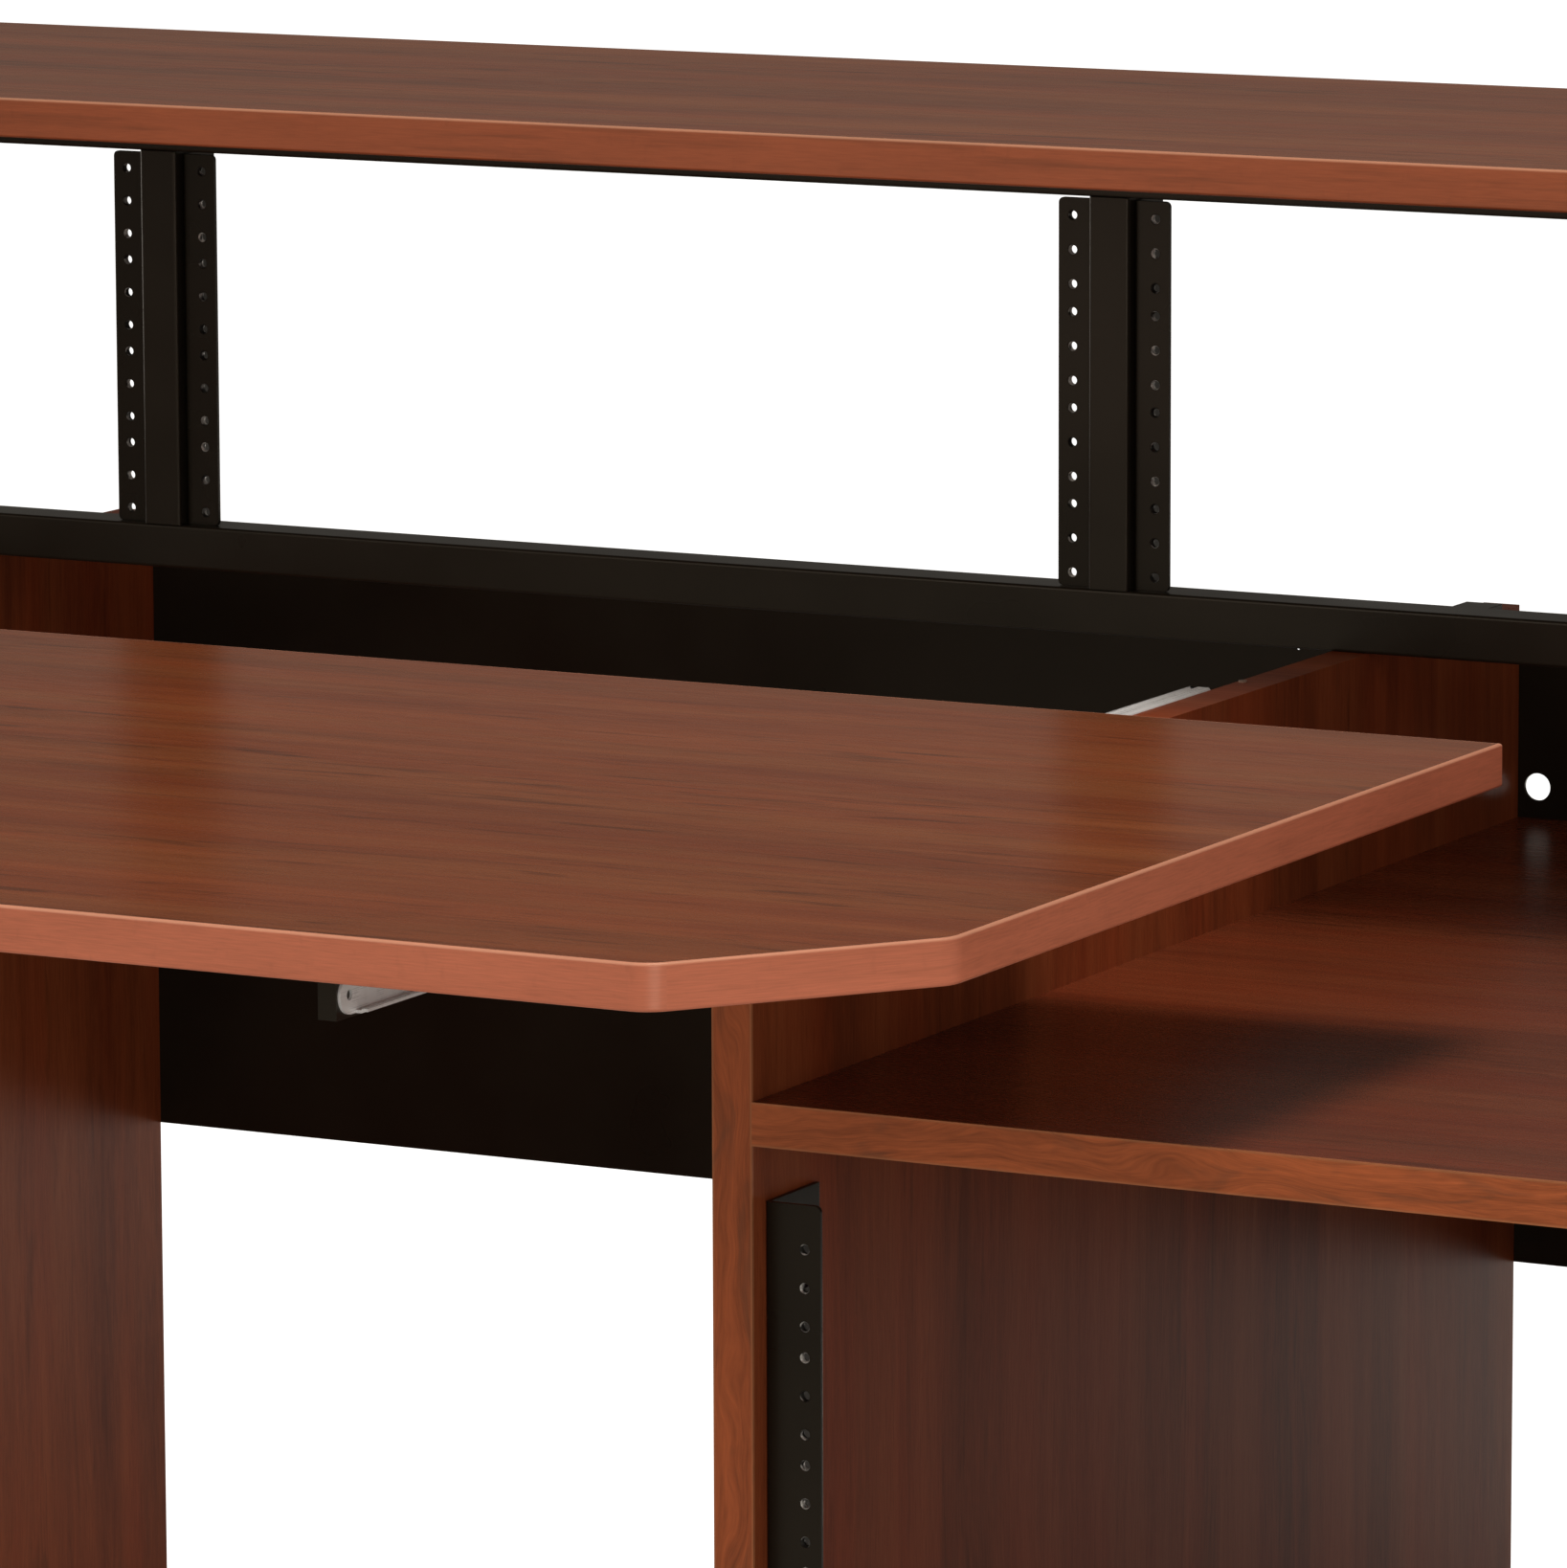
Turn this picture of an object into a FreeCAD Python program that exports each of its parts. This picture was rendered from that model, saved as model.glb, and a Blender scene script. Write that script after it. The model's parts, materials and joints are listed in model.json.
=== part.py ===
"""Studio computer desk with a sliding keyboard tray, three upper rack bays and two lower rack bays.

Millimetres.  +X to the user's right, +Y to the back, +Z up.  The origin is on the floor, on the desk's
centre line, half way between the front of the pulled-out tray and the back of the rear sheet.
"""
import FreeCAD
import Part
import Sketcher
import os
import re

doc = FreeCAD.newDocument("computer_desk")
dims = doc.addObject("Spreadsheet::Sheet", "dims")

SIZES = [
    # boards
    ("board_thk", "18", "thickness of every board"),
    ("band_thk", "1.5", "edge band on the board edges"),
    ("band_round", "1.2", "rounding of the edge bands"),
    ("desk_height", "711", "floor to the top edge of the side panels"),
    ("cap_dia", "4", "cover cap on the top edge of an inner panel"),
    ("cap_ahead", "107", "cover cap ahead of the rail face"),
    ("cap_side", "3", "panel face to the middle of the cover cap"),
    ("glide_height", "12", "levelling glide under the panels"),
    ("glide_dia", "18", "levelling glide diameter"),
    ("panel_depth", "773", "side panel, front to back"),
    ("panel_back", "168.5", "rail face to the rear edge of the panels"),
    ("leg_width", "732", "clear width between the inner panels"),
    ("bay_drop", "101", "panel top down to the top of the bay shelf"),
    # nineteen inch rack
    ("rack_open", "450.85", "clear opening between two rails"),
    ("rack_span", "465.1", "hole column to hole column"),
    ("unit", "44.45", "one rack unit"),
    ("hole_first", "6.35", "unit edge to its first hole"),
    ("hole_step", "15.875", "spacing of the three holes of a unit"),
    ("hole_dia", "4.6", "rack hole"),
    ("units_up", "4", "units of an upper bay"),
    ("units_low", "10", "units of a lower bay"),
    ("rail_thk", "2", "rail sheet"),
    ("rail_up", "18.125", "front flange of an upper rail"),
    ("rail_up_side", "27", "side flange of an upper rail"),
    ("rail_tip", "1.8", "plain tip of an upper rail"),
    ("rail_bend", "1.8", "outside radius of the bend of a rail"),
    ("rail_corner", "2.5", "rounded free corners of a rail"),
    ("rail_low_side", "44", "side flange of a lower rail"),
    ("rail_low_hole", "17.95", "hole column of a lower rail past the bay's clear opening"),
    ("rail_low_end", "12", "plain end of a lower rail"),
    ("rail_low_drop", "24.5", "bay shelf down to the top of a lower rail"),
    ("rail_low_foot", "21", "foot of a lower rail to the bay floor"),
    ("rail_low_back", "11", "panel front back to a lower rail"),
    # steel frame
    ("tube_wall", "1.5", "wall of the steel tubes"),
    ("tube_round", "1.5", "outer corner radius of the tubes"),
    ("bar_depth", "25", "crossbar, shelf bar and posts, front to back"),
    ("bar_height", "21", "crossbar height"),
    ("bar_lead", "6", "crossbar front ahead of the rail face"),
    ("post_width", "20", "upper post"),
    ("rail_gap", "3.2", "top of an upper rail to the shelf bar"),
    ("shelf_bar_height", "30", "bar under the top shelf"),
    ("bar_over", "10", "shelf bar past the outer posts"),
    ("cap_thk", "2", "end cap of a tube"),
    ("arm_thk", "3", "foot arm behind the crossbar"),
    ("arm_length", "129", "foot arm, front to back"),
    ("sheet_thk", "1.5", "rear sheet"),
    ("hem_depth", "10", "hem of the rear sheet"),
    ("sheet_drop", "11", "panel top down to the top of the rear sheet"),
    ("sheet_height", "304", "rear sheet height"),
    ("sheet_inset", "3", "rear sheet in from the desk's ends"),
    ("cable_dia", "13", "cable hole in the rear sheet"),
    ("cable_low", "86", "panel top down to the cable hole"),
    ("cable_side", "10", "inner panel to the cable hole"),
    ("peg_dia", "2", "small hole near the top of the rear sheet"),
    ("peg_low", "28.2", "panel top down to the small hole"),
    ("peg_side", "269.8", "centre line to the small hole"),
    # top shelf
    ("shelf_width", "1806", "top shelf, end to end"),
    ("shelf_depth", "350", "top shelf, front to back"),
    ("shelf_lead", "246", "top shelf front ahead of the rail face"),
    # tray and its slides
    ("tray_width", "1226", "tray, side to side"),
    ("tray_depth", "596", "tray, front to back"),
    ("tray_cut_wide", "74", "cut corner along the front edge"),
    ("tray_cut_deep", "98", "cut corner along the side edge"),
    ("tray_round", "16", "rounding of the four front corners of the tray"),
    ("tray_gap", "11", "panel top to the tray"),
    ("tray_out", "345", "tray pulled out from its closed place"),
    ("shut_gap", "30", "closed tray to the crossbar"),
    ("slide_length", "400", "every slide member"),
    ("slide_rear", "134", "slide end ahead of the rail face"),
    ("slide_low", "15", "panel top down to the slide's middle"),
    ("slide_height", "32", "outer member"),
    ("slide_width", "12.7", "panel face to the hanger"),
    ("slide_thk", "1.2", "slide sheet"),
    ("race_gap", "2", "ball race between two members"),
    ("mid_web", "4", "panel face to the middle member's web"),
    ("hanger_width", "8", "hanger tube"),
    ("hanger_low", "24", "panel top down to the hanger's lower edge"),
    ("hanger_lead", "1", "hanger ahead of the inner member"),
    ("hanger_length", "430", "hanger, front to back"),
    ("hanger_flange", "22", "flange of the hanger under the tray"),
    # fasteners
    ("screw_dia", "4", "screw shank"),
    ("screw_head", "8", "screw head"),
    ("head_thk", "2.2", "screw head height"),
    ("screw_length", "14", "screw shank length"),
    ("free_play", "0.15", "radial play of a screw in its hole"),
    # derived
    ("rack_pitch", "=rack_open+2*rail_up+post_width", "upper bay to upper bay"),
    ("rail_low", "=(rack_span-rack_open)/2+rail_low_hole", "front flange of a lower rail"),
    ("bay_width", "=rack_open+2*rail_low", "clear width of a lower bay"),
    ("x_inner", "=leg_width/2", "inner panel, inner face"),
    ("x_bay", "=x_inner+board_thk", "inner panel, outer face"),
    ("x_outer", "=x_bay+bay_width", "outer panel, inner face"),
    ("x_end", "=x_outer+board_thk", "outer panel, outer face"),
    ("y_rail", "=(tray_depth+tray_out+shut_gap+bar_lead-panel_back-hem_depth)/2", "rail face"),
    ("y_bar", "=y_rail-bar_lead", "crossbar front"),
    ("y_back", "=y_rail+panel_back", "rear edge of the panels"),
    ("y_front", "=y_back-panel_depth", "front edge of the panels"),
    ("y_tray", "=y_bar-shut_gap-tray_depth-tray_out", "tray front"),
    ("y_slide", "=y_rail-slide_rear-slide_length", "outer member front"),
    ("z_post", "=desk_height+bar_height", "foot of the posts"),
    ("post_height", "=units_up*unit+rail_gap", "crossbar to shelf bar"),
    ("z_shelf_bar", "=z_post+post_height", "underside of the shelf bar"),
    ("z_shelf", "=z_shelf_bar+shelf_bar_height", "underside of the top shelf"),
    ("z_bay", "=desk_height-bay_drop-board_thk", "underside of the bay shelf"),
    ("z_low_top", "=z_bay-rail_low_drop", "top of the lower rails"),
    ("low_length", "=units_low*unit+2*rail_low_end", "lower rail length"),
    ("plinth", "=z_low_top-low_length-rail_low_foot-board_thk", "floor to the underside of the bay floor"),
    ("z_tray", "=desk_height+tray_gap", "underside of the tray"),
    ("z_slide", "=desk_height-slide_low", "middle of the slides"),
    ("mid_height", "=slide_height-2*slide_thk-2*race_gap", "middle member height"),
    ("inner_height", "=mid_height-2*slide_thk-2*race_gap", "inner member height"),
]

for row, (alias, value, note) in enumerate(SIZES, start=1):
    dims.set("A%d" % row, note)
    dims.set("B%d" % row, value)
    dims.setAlias("B%d" % row, alias)
doc.recompute()

SIDES = (("left", -1), ("right", 1))
UP = FreeCAD.Rotation()
ALONG_X = FreeCAD.Rotation(FreeCAD.Vector(0, 1, 0), 90)
ALONG_Y = FreeCAD.Rotation(FreeCAD.Vector(1, 0, 0), -90)
TURN = {"x": ALONG_X, "y": ALONG_Y, "z": UP}
nodes = []


def bound(text):
    """Expression text with every named size read from the sheet."""
    return re.sub(r"[a-z][a-z_]+", lambda word: "dims." + word.group(), text)


def value_of(text):
    return float(dims.evalExpression(bound(text)))


def flip(side, start, width="0"):
    """Left-hand end of a piece that starts at `start` on the right side, mirrored if side is -1."""
    return start if side > 0 else "-(%s)-(%s)" % (start, width)


def place(obj, corner, turn=UP):
    obj.Placement = FreeCAD.Placement(FreeCAD.Vector(), turn)
    for axis, text in zip("xyz", corner):
        obj.setExpression("Placement.Base." + axis, bound(text))
    return obj


def node(label, obj):
    obj.Label = label
    nodes.append(obj)
    return obj


def block(size, corner):
    obj = doc.addObject("Part::Box", "block")
    for name, text in zip(("Length", "Width", "Height"), size):
        obj.setExpression(name, bound(text))
    return place(obj, corner)


def rod(dia, length, start, axis):
    obj = doc.addObject("Part::Cylinder", "rod")
    obj.setExpression("Radius", bound("(%s)/2" % dia))
    obj.setExpression("Height", bound(length))
    return place(obj, start, TURN[axis])


def fuse(pieces):
    obj = doc.addObject("Part::MultiFuse", "fuse")
    obj.Shapes = pieces
    return obj


def cut(base, tools):
    obj = doc.addObject("Part::Cut", "cut")
    obj.Base = base
    obj.Tool = tools[0] if len(tools) == 1 else fuse(tools)
    return obj


def group(pieces):
    obj = doc.addObject("Part::Compound", "group")
    obj.Links = pieces
    return obj


def new_sketch(body, role="XY_Plane"):
    sketch = body.newObject("Sketcher::SketchObject", "sketch")
    plane = next(item for item in body.Origin.OriginFeatures if item.Role == role)
    sketch.AttachmentSupport = [(plane, "")]
    sketch.MapMode = "FlatFace"
    return sketch


def loop(sketch, points):
    """Closed outline through points given as expression texts."""
    first = sketch.GeometryCount
    flat = [FreeCAD.Vector(value_of(x), value_of(y), 0) for x, y in points]
    count = len(points)
    for i in range(count):
        sketch.addGeometry(Part.LineSegment(flat[i], flat[(i + 1) % count]), False)
    for i in range(count):
        after = first + (i + 1) % count
        sketch.addConstraint(Sketcher.Constraint("Coincident", first + i, 2, after, 1))
    for i, (x, y) in enumerate(points):
        for kind, text, number in (("DistanceX", x, flat[i].x), ("DistanceY", y, flat[i].y)):
            index = sketch.addConstraint(Sketcher.Constraint(kind, first + i, 1, number))
            sketch.setExpression("Constraints[%d]" % index, bound(text))


def circle(sketch, x, y, dia):
    centre = FreeCAD.Vector(value_of(x), value_of(y), 0)
    index = sketch.addGeometry(Part.Circle(centre, FreeCAD.Vector(0, 0, 1), value_of(dia) / 2), False)
    for kind, text, number in (("DistanceX", x, centre.x), ("DistanceY", y, centre.y)):
        spot = sketch.addConstraint(Sketcher.Constraint(kind, index, 3, number))
        sketch.setExpression("Constraints[%d]" % spot, bound(text))
    spot = sketch.addConstraint(Sketcher.Constraint("Diameter", index, value_of(dia)))
    sketch.setExpression("Constraints[%d]" % spot, bound(dia))


def pad(body, outlines, length):
    sketch = new_sketch(body)
    for points in outlines:
        loop(sketch, points)
    feature = body.newObject("PartDesign::Pad", "pad")
    feature.Profile = sketch
    feature.setExpression("Length", bound(length))
    doc.recompute()
    return feature


def round_edges(body, feature, chosen, radius):
    names = ["Edge%d" % (i + 1) for i, edge in enumerate(feature.Shape.Edges) if chosen(edge)]
    fillet = body.newObject("PartDesign::Fillet", "rounding")
    fillet.Base = (feature, names)
    fillet.setExpression("Radius", bound(radius))
    doc.recompute()
    return fillet


def rectangle(wide, deep, inset="0"):
    near, far_x, far_y = inset, "%s-(%s)" % (wide, inset), "%s-(%s)" % (deep, inset)
    return [(near, near), (far_x, near), (far_x, far_y), (near, far_y)]


def upright(edge):
    low, high = edge.BoundBox.ZMin, edge.BoundBox.ZMax
    return high - low > 1 and edge.BoundBox.XLength < 1e-3 and edge.BoundBox.YLength < 1e-3


def near_zero(box):
    return abs(box.XMin) < 1e-3 and abs(box.YMin) < 1e-3


def tube(wide, deep, length, corner, turn):
    """Square steel tube with rounded long edges, open at both ends."""
    body = doc.addObject("PartDesign::Body", "tube")
    solid = pad(body, [rectangle(wide, deep)], length)
    rounded = round_edges(body, solid, upright, "tube_round")
    bore = new_sketch(body)
    loop(bore, rectangle(wide, deep, "tube_wall"))
    pocket = body.newObject("PartDesign::Pocket", "bore")
    pocket.Profile = bore
    pocket.Type = 1
    pocket.Reversed = True
    body.Tip = pocket
    doc.recompute()
    if pocket.Shape.Volume > 0.9 * rounded.Shape.Volume:
        pocket.Reversed = False
    return place(body, corner, turn)


def rail(side, front, side_flange, length, corner, end, units):
    """Perforated angle: front flange faces forward, side flange runs back along its support."""
    body = doc.addObject("PartDesign::Body", "rail")
    hand = "" if side > 0 else "-"
    outline = [("0", "0"), (hand + "(%s)" % front, "0"), (hand + "(%s)" % front, "rail_thk"),
               (hand + "rail_thk", "rail_thk"), (hand + "rail_thk", side_flange), ("0", side_flange)]
    solid = pad(body, [outline], length)
    bend = round_edges(body, solid, lambda edge: upright(edge) and near_zero(edge.BoundBox), "rail_bend")
    reach = abs(value_of(front))

    def free_corner(edge):
        box = edge.BoundBox
        return box.XLength < 1e-3 and box.ZLength < 1e-3 and abs(abs(box.XMin) - reach) < 1e-3

    round_edges(body, bend, free_corner, "rail_corner")
    column = hand + "(%s-(rack_span-rack_open)/2)" % front
    holes = new_sketch(body, "XZ_Plane")
    for step in range(3):
        circle(holes, column, "%s+hole_first+%d*hole_step" % (end, step), "hole_dia")
    pocket = body.newObject("PartDesign::Pocket", "unit_holes")
    pocket.Profile = holes
    pocket.Type = 1
    pocket.Midplane = True
    doc.recompute()
    pattern = body.newObject("PartDesign::LinearPattern", "unit_pattern")
    pattern.Originals = [pocket]
    pattern.Direction = (holes, ["V_Axis"])
    pattern.setExpression("Length", bound("(%s-1)*unit" % units))
    pattern.setExpression("Occurrences", bound(units))
    body.Tip = pattern
    doc.recompute()
    return place(body, corner)


def ring(outer, inner, length, corner):
    """Edge band round a board: rounded outer edges."""
    body = doc.addObject("PartDesign::Body", "band")
    solid = pad(body, [outer, inner], length)
    spots = [(value_of(x), value_of(y)) for x, y in outer]

    def on_outline(edge):
        if edge.BoundBox.ZLength > 1e-3:
            return False
        ends = [vertex.Point for vertex in edge.Vertexes]
        return all(min(abs(p.x - x) + abs(p.y - y) for x, y in spots) < 1e-3 for p in ends)

    body.Tip = round_edges(body, solid, on_outline, "band_round")
    return place(body, corner)


def screw(head_at, axis, way):
    """Pan-head screw: the head stands out of the surface, the shank goes in along the axis."""
    spot = dict(zip("xyz", head_at))
    inward = dict(spot)
    outward = dict(spot)
    if way > 0:
        outward[axis] = "(%s)-head_thk" % spot[axis]
    else:
        inward[axis] = "(%s)-screw_length" % spot[axis]
    shank = rod("screw_dia", "screw_length", [inward[a] for a in "xyz"], axis)
    head = rod("screw_head", "head_thk", [outward[a] for a in "xyz"], axis)
    return fuse([shank, head])


def screw_hole(head_at, axis, way):
    """Clearance for the shank of the screw above, in whatever it goes through."""
    spot = dict(zip("xyz", head_at))
    start = "(%s)-%s" % (spot[axis], "0.5" if way > 0 else "screw_length-0.5")
    spot[axis] = start
    return rod("screw_dia+2*free_play", "screw_length+1", [spot[a] for a in "xyz"], axis)


# ---------------------------------------------------------------- screw places (point on the surface)
mid_x = {"inner": "(x_inner+board_thk/2)", "outer": "(x_outer+board_thk/2)"}
ARMS = (("left", "outer"), ("right", "inner"), ("right", "outer"))
low_rail_screws = []
arm_screws = []
sheet_screws = []
slide_screws = []
for side_name, side in SIDES:
    for panel, face, way in (("inner", "x_bay", 1), ("outer", "x_outer", -1)):
        x = flip(side, "(%s)%srail_thk" % (face, "+" if way > 0 else "-"))
        for part_of in ("0.08", "0.5", "0.92"):
            spot = (x, "y_front+rail_low_back+0.7*rail_low_side", "z_low_top-%s*low_length" % part_of)
            low_rail_screws.append(((side_name, panel), spot, "x", -side * way))
        for back in ("35", "95") if (side_name, panel) in ARMS else ():
            spot = (flip(side, mid_x[panel]), "y_bar+bar_depth+%s" % back, "desk_height+arm_thk")
            arm_screws.append(((side_name, panel), spot, "z", -1))
        for down in ("30", "152", "274"):
            spot = (flip(side, mid_x[panel]), "y_back+sheet_thk", "desk_height-sheet_drop-%s" % down)
            sheet_screws.append(((side_name, panel), spot, "y", -1))
    for along in ("0.1", "0.5", "0.9"):
        spot = (flip(side, "x_inner-slide_thk"), "y_slide+%s*slide_length" % along, "z_slide")
        slide_screws.append(((side_name, "inner"), spot, "x", side))


def holes_at(places, key=None):
    return [screw_hole(spot, axis, way) for owner, spot, axis, way in places if key in (None, owner)]


def screws_at(label, places):
    node(label, group([screw(spot, axis, way) for owner, spot, axis, way in places]))


# ---------------------------------------------------------------- side panels, shelves and bands
bands = []
glides = []
caps = []
for side_name, side in SIDES:
    for panel, face in (("inner", "x_inner"), ("outer", "x_outer")):
        board = block(["board_thk", "panel_depth-band_thk", "desk_height-glide_height"],
                      [flip(side, face, "board_thk"), "y_front+band_thk", "glide_height"])
        tools = []
        for places in (low_rail_screws, arm_screws, sheet_screws, slide_screws):
            tools += holes_at(places, (side_name, panel))
        for y in ("y_front+60", "y_back-60"):
            tools.append(rod("8+2*free_play", "20", [flip(side, mid_x[panel]), y, "glide_height-1"], "z"))
            foot = rod("glide_dia", "glide_height-4", [flip(side, mid_x[panel]), y, "0"], "z")
            neck = rod("12", "4", [flip(side, mid_x[panel]), y, "glide_height-4"], "z")
            stem = rod("8", "18", [flip(side, mid_x[panel]), y, "glide_height"], "z")
            glides.append(fuse([foot, neck, stem]))
        node("%s_panel_%s" % (panel, side_name), cut(board, tools))
        bands.append(block(["board_thk", "band_thk", "desk_height-glide_height"],
                           [flip(side, face, "board_thk"), "y_front", "glide_height"]))
        if panel == "inner":
            caps.append(rod("cap_dia", "0.8", [flip(side, "x_inner+cap_side"), "y_rail-cap_ahead", "desk_height"],
                            "z"))
node("panel_front_bands", group(bands))
node("panel_top_caps", group(caps))
node("levelling_glides", group(glides))

for label, low in (("bay_shelf", "z_bay"), ("bay_floor", "plinth")):
    bands = []
    for side_name, side in SIDES:
        left = flip(side, "x_bay", "bay_width")
        node("%s_%s" % (label, side_name),
             block(["bay_width", "panel_depth-band_thk", "board_thk"], [left, "y_front+band_thk", low]))
        bands.append(block(["bay_width", "band_thk", "board_thk"], [left, "y_front", low]))
    node("%s_bands" % label, group(bands))

# ---------------------------------------------------------------- rear sheet
sheet_low = "desk_height-sheet_drop-sheet_height"
sheet_wide = "2*(x_end-sheet_inset)"
plate = block([sheet_wide, "sheet_thk", "sheet_height"], ["sheet_inset-x_end", "y_back", sheet_low])
hem_size = [sheet_wide, "hem_depth", "sheet_thk"]
hem_low = block(hem_size, ["sheet_inset-x_end", "y_back", sheet_low])
hem_top = block(hem_size, ["sheet_inset-x_end", "y_back", "desk_height-sheet_drop-sheet_thk"])
tools = holes_at(sheet_screws)
for x, down, dia in (("x_bay+cable_side", "cable_low", "cable_dia"),
                     ("-x_bay-cable_side", "cable_low", "cable_dia"),
                     ("peg_side", "peg_low", "peg_dia")):
    tools.append(rod(dia, "20", [x, "y_back-5", "desk_height-%s" % down], "y"))
node("rear_sheet", cut(fuse([plate, hem_low, hem_top]), tools))
screws_at("rear_sheet_screws", sheet_screws)

# ---------------------------------------------------------------- crossbar, foot arms, posts, shelf bar
half_cross = "(x_end-cap_thk)"
node("crossbar", tube("bar_height", "bar_depth", "2*" + half_cross, ["-" + half_cross, "y_bar", "z_post"],
                      ALONG_X))
half_bar = "(1.5*rack_pitch+rail_up+post_width/2+bar_over)"
node("shelf_bar", tube("shelf_bar_height", "bar_depth", "2*" + half_bar, ["-" + half_bar, "y_bar", "z_shelf"],
                       ALONG_X))


def end_caps(label, high, x_face, z_low):
    """Plastic plugs that close the two ends of a tube."""
    caps = []
    for side_name, side in SIDES:
        head = block(["cap_thk", "bar_depth", high], [flip(side, x_face, "cap_thk"), "y_bar", z_low])
        plug = block(["12", "bar_depth-2*tube_wall-0.4", "%s-2*tube_wall-0.4" % high],
                     [flip(side, "%s-12" % x_face, "12"), "y_bar+tube_wall+0.2", "%s+tube_wall+0.2" % z_low])
        caps.append(fuse([head, plug]))
    node(label, group(caps))


end_caps("crossbar_caps", "bar_height", half_cross, "desk_height")
end_caps("shelf_bar_caps", "shelf_bar_height", half_bar, "z_shelf_bar")

arms = []
for side_name, panel in ARMS:
    left = flip(dict(SIDES)[side_name], mid_x[panel] + "-board_thk/2", "board_thk")
    arm = block(["board_thk", "arm_length", "arm_thk"], [left, "y_bar+bar_depth", "desk_height"])
    arms.append(cut(arm, holes_at(arm_screws, (side_name, panel))))
node("foot_arms", group(arms))
screws_at("foot_arm_screws", arm_screws)

UPPER = (("outer_left", "-1.5*rack_pitch", (1,)), ("inner_left", "-0.5*rack_pitch", (-1, 1)),
         ("inner_right", "0.5*rack_pitch", (-1, 1)), ("outer_right", "1.5*rack_pitch", (-1,)))
HAND = {-1: "left", 1: "right"}
rail_screws = []
for name, x, rail_sides in UPPER:
    spots = []
    for side in rail_sides:
        for high in ("0.25", "0.75"):
            face = "%s%s(post_width/2+rail_thk)" % (x, "+" if side > 0 else "-")
            spots.append((name, (face, "y_rail+13", "z_post+%s*units_up*unit" % high), "x", -side))
    rail_screws += spots
    post = tube("post_width", "bar_depth", "post_height", ["%s-post_width/2" % x, "y_bar", "z_post"], UP)
    node("post_" + name, cut(post, holes_at(spots)))
    for side in rail_sides:
        start = "%s%spost_width/2" % (x, "+" if side > 0 else "-")
        angle = rail(side, "rail_up", "rail_up_side", "units_up*unit+rail_tip", [start, "y_rail", "z_post"], "0",
                     "units_up")
        tools = [screw_hole(*spot[1:]) for spot in spots if spot[3] == -side]
        node("rail_%s_%s" % (name, HAND[side]), cut(angle, tools))

# a short shank keeps the rail screws inside the tube
short = []
for name, (x, y, z), axis, way in rail_screws:
    shank_start = x if way > 0 else "(%s)-6" % x
    head_start = "(%s)-head_thk" % x if way > 0 else x
    short.append(fuse([rod("screw_dia", "6", [shank_start, y, z], axis),
                       rod("screw_head", "head_thk", [head_start, y, z], axis)]))
node("post_rail_screws", group(short))

# ---------------------------------------------------------------- lower rack rails
for side_name, side in SIDES:
    for panel, face, way in (("inner", "x_bay", 1), ("outer", "x_outer", -1)):
        angle = rail(side * way, "rail_low", "rail_low_side", "low_length",
                     [flip(side, face), "y_front+rail_low_back", "z_low_top-low_length"], "rail_low_end",
                     "units_low")
        node("low_rail_%s_%s" % (side_name, panel), cut(angle, holes_at(low_rail_screws, (side_name, panel))))
screws_at("low_rail_screws", low_rail_screws)

# ---------------------------------------------------------------- top shelf
shelf_corner = ["-shelf_width/2", "y_rail-shelf_lead", "z_shelf"]
shelf_screws = []
for x in ("-1.2", "-0.75", "-0.25", "0.25", "0.75", "1.2"):
    shelf_screws.append((None, (x + "*rack_pitch", "y_bar+bar_depth/2", "z_shelf_bar+shelf_bar_height"), "z", 1))
core = block(["shelf_width-2*band_thk", "shelf_depth-2*band_thk", "board_thk"],
             ["band_thk-shelf_width/2", "y_rail-shelf_lead+band_thk", "z_shelf"])
pins = [rod("6+2*free_play", "11", spot[:2] + ("z_shelf-1",), "z") for owner, spot, axis, way in shelf_screws]
node("top_shelf", cut(core, pins))
node("top_shelf_band", ring(rectangle("shelf_width", "shelf_depth"),
                            rectangle("shelf_width", "shelf_depth", "band_thk"), "board_thk", shelf_corner))
node("shelf_dowels", group([rod("6", "9.5", spot[:2] + ("z_shelf",), "z")
                            for owner, spot, axis, way in shelf_screws]))


# ---------------------------------------------------------------- tray
def tray_outline(inset):
    """Tray with its two front corners cut off; the inset follows the edges inwards."""
    half = "(tray_width/2-%s)" % inset
    slope = "(%s*0.335)" % inset
    return [("-" + half, "tray_depth-" + inset), ("-" + half, "tray_cut_deep+" + slope),
            ("-(tray_width/2-tray_cut_wide-%s*0.498)" % inset, inset),
            ("tray_width/2-tray_cut_wide-%s*0.498" % inset, inset),
            (half, "tray_cut_deep+" + slope), (half, "tray_depth-" + inset)]


def front_corner(edge):
    return upright(edge) and edge.BoundBox.YMax < value_of("tray_depth") / 2


def tray_plate(inset, radius):
    """Tray outline as a plate with its four front corners rounded."""
    body = doc.addObject("PartDesign::Body", "plate")
    solid = pad(body, [tray_outline(inset)], "board_thk")
    body.Tip = round_edges(body, solid, front_corner, radius)
    return place(body, ["0", "y_tray", "z_tray"])


def along_face(edge):
    return edge.BoundBox.ZLength < 1e-3


hanger_screws = []
hanger_x = "x_inner-slide_width-hanger_width"
hanger_y = "y_slide-tray_out-hanger_lead"
for side_name, side in SIDES:
    for along in ("0.1", "0.5", "0.9"):
        spot = (flip(side, hanger_x + "-0.6*hanger_flange"), hanger_y + "+%s*hanger_length" % along,
                "z_tray-sheet_thk")
        hanger_screws.append((side_name, spot, "z", 1))

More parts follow.
